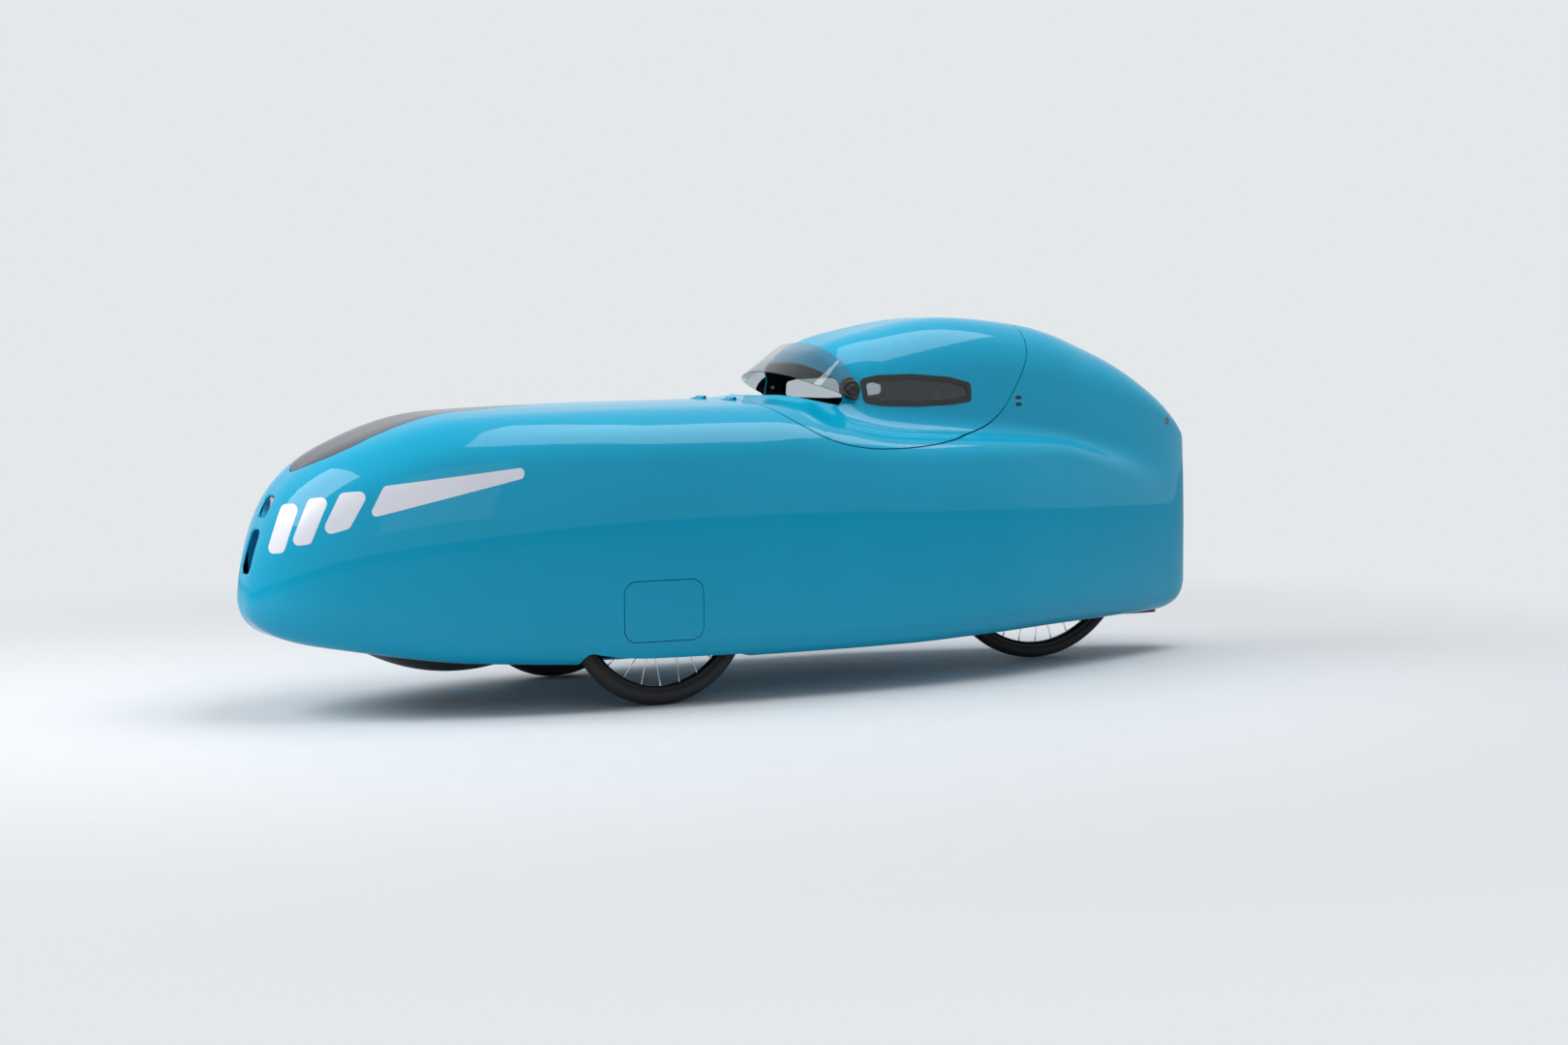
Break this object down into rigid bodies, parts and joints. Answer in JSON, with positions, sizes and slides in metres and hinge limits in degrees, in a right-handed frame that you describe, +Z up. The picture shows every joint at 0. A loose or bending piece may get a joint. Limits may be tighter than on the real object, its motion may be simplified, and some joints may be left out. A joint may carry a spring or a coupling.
{
  "type": "velomobile",
  "caption": "Fully faired recumbent tricycle with a hinged hood, a tilting visor, spoked wheels and tiller steering.",
  "frame": {"origin": "on the ground under the middle of the body's length and width", "axes": "+X to the nose, +Y to the vehicle's left, +Z up"},
  "size_m": [2.633, 0.7718, 0.8999],
  "materials": {
    "body_blue": "high gloss gelcoat, turquoise blue",
    "dark_gloss": "high gloss dark grey laminate",
    "deep_blue": "satin deep blue inside the air intake",
    "black_plastic": "matt black plastic",
    "window_clear": "clear bent sheet",
    "lamp_lens": "clear lamp lens",
    "tail_lens": "dark red lens",
    "tyre": "black rubber",
    "rim_black": "black anodised rim",
    "hub_metal": "satin hub, bright spokes",
    "steering_metal": "bead blasted",
    "strut_black": "black tube",
    "arm_metal": "black coated arm",
    "tiller_black": "black coated tube with soft grip",
    "seat_laminate": "dark laminate shell",
    "seat_fabric": "black open mesh pad",
    "well_laminate": "raw dark laminate"
  },
  "bodies": {
    "body": {"body_tub": "body_blue", "body_deck": "body_blue", "nose_hatch": "dark_gloss", "nose_insert": "deep_blue", "headlamp": "lamp_lens", "access_cover_left": "body_blue", "access_cover_right": "body_blue", "heel_blister": "black_plastic", "tail_strip": "black_plastic", "tail_lamps": "tail_lens", "side_vents": "black_plastic", "front_well_left": "well_laminate", "front_well_right": "well_laminate", "rear_well": "well_laminate", "front_beam": "steering_metal", "swing_arm": "arm_metal", "seat_shell": "seat_laminate", "seat_pad": "seat_fabric"},
    "hood": {"hood": "body_blue", "hinge_eyes": "body_blue", "visor_bush_left": "black_plastic", "visor_bush_right": "black_plastic", "window_frame_left": "black_plastic", "window_frame_right": "black_plastic", "window_pane_left": "window_clear", "window_pane_right": "window_clear"},
    "visor": {"visor": "window_clear"},
    "tiller": {"tiller": "tiller_black"},
    "wheel_rear": {"rear_tyre": "tyre", "rear_rim": "rim_black", "rear_hub": "hub_metal"},
    "knuckle_left": {"knuckle_left": "steering_metal", "strut_left": "strut_black"},
    "wheel_front_left": {"front_tyre_left": "tyre", "front_rim_left": "rim_black", "front_hub_left": "hub_metal"},
    "tie_rod_left": {"tie_rod_left": "steering_metal"},
    "knuckle_right": {"knuckle_right": "steering_metal", "strut_right": "strut_black"},
    "wheel_front_right": {"front_tyre_right": "tyre", "front_rim_right": "rim_black", "front_hub_right": "hub_metal"},
    "tie_rod_right": {"tie_rod_right": "steering_metal"}
  },
  "joints": [
    {"name": "hood_hinge", "type": "hinge", "parent": "body", "child": "hood", "pos_m": [0.11, 0, 0.703], "axis": [0, 1, 0], "range_deg": [0, 70]},
    {"name": "visor_pivot", "type": "hinge", "parent": "hood", "child": "visor", "pos_m": [-0.152, 0, 0.722], "axis": [0, -1, 0], "range_deg": [-19, 12]},
    {"name": "steer_left", "type": "hinge", "parent": "body", "child": "knuckle_left", "pos_m": [0.4165, 0.258, 0.235], "axis": [0, 0, 1], "range_deg": [-9, 9]},
    {"name": "steer_right", "type": "hinge", "parent": "body", "child": "knuckle_right", "pos_m": [0.4165, -0.258, 0.235], "axis": [0, 0, 1], "range_deg": [-9, 9]},
    {"name": "tiller_turn", "type": "hinge", "parent": "body", "child": "tiller", "pos_m": [0.4165, 0, 0.209], "axis": [0, 0, 1], "range_deg": [-9, 9]},
    {"name": "rod_pin_left", "type": "hinge", "parent": "knuckle_left", "child": "tie_rod_left", "pos_m": [0.3265, 0.258, 0.218], "axis": [0, 0, 1], "range_deg": [-9, 9]},
    {"name": "rod_pin_right", "type": "hinge", "parent": "knuckle_right", "child": "tie_rod_right", "pos_m": [0.3265, -0.258, 0.218], "axis": [0, 0, 1], "range_deg": [-9, 9]},
    {"name": "wheel_spin_left", "type": "hinge", "parent": "knuckle_left", "child": "wheel_front_left", "pos_m": [0.4165, 0.302, 0.235], "axis": [0, 1, 0], "continuous": true},
    {"name": "wheel_spin_right", "type": "hinge", "parent": "knuckle_right", "child": "wheel_front_right", "pos_m": [0.4165, -0.302, 0.235], "axis": [0, 1, 0], "continuous": true},
    {"name": "wheel_spin_rear", "type": "hinge", "parent": "body", "child": "wheel_rear", "pos_m": [-0.8385, 0, 0.3075], "axis": [0, 1, 0], "continuous": true}
  ],
  "couplings": [
    {"joint": "steer_right", "follows": "steer_left", "ratio": 1},
    {"joint": "tiller_turn", "follows": "steer_left", "ratio": 1},
    {"joint": "rod_pin_left", "follows": "steer_left", "ratio": -1},
    {"joint": "rod_pin_right", "follows": "steer_left", "ratio": -1}
  ]
}
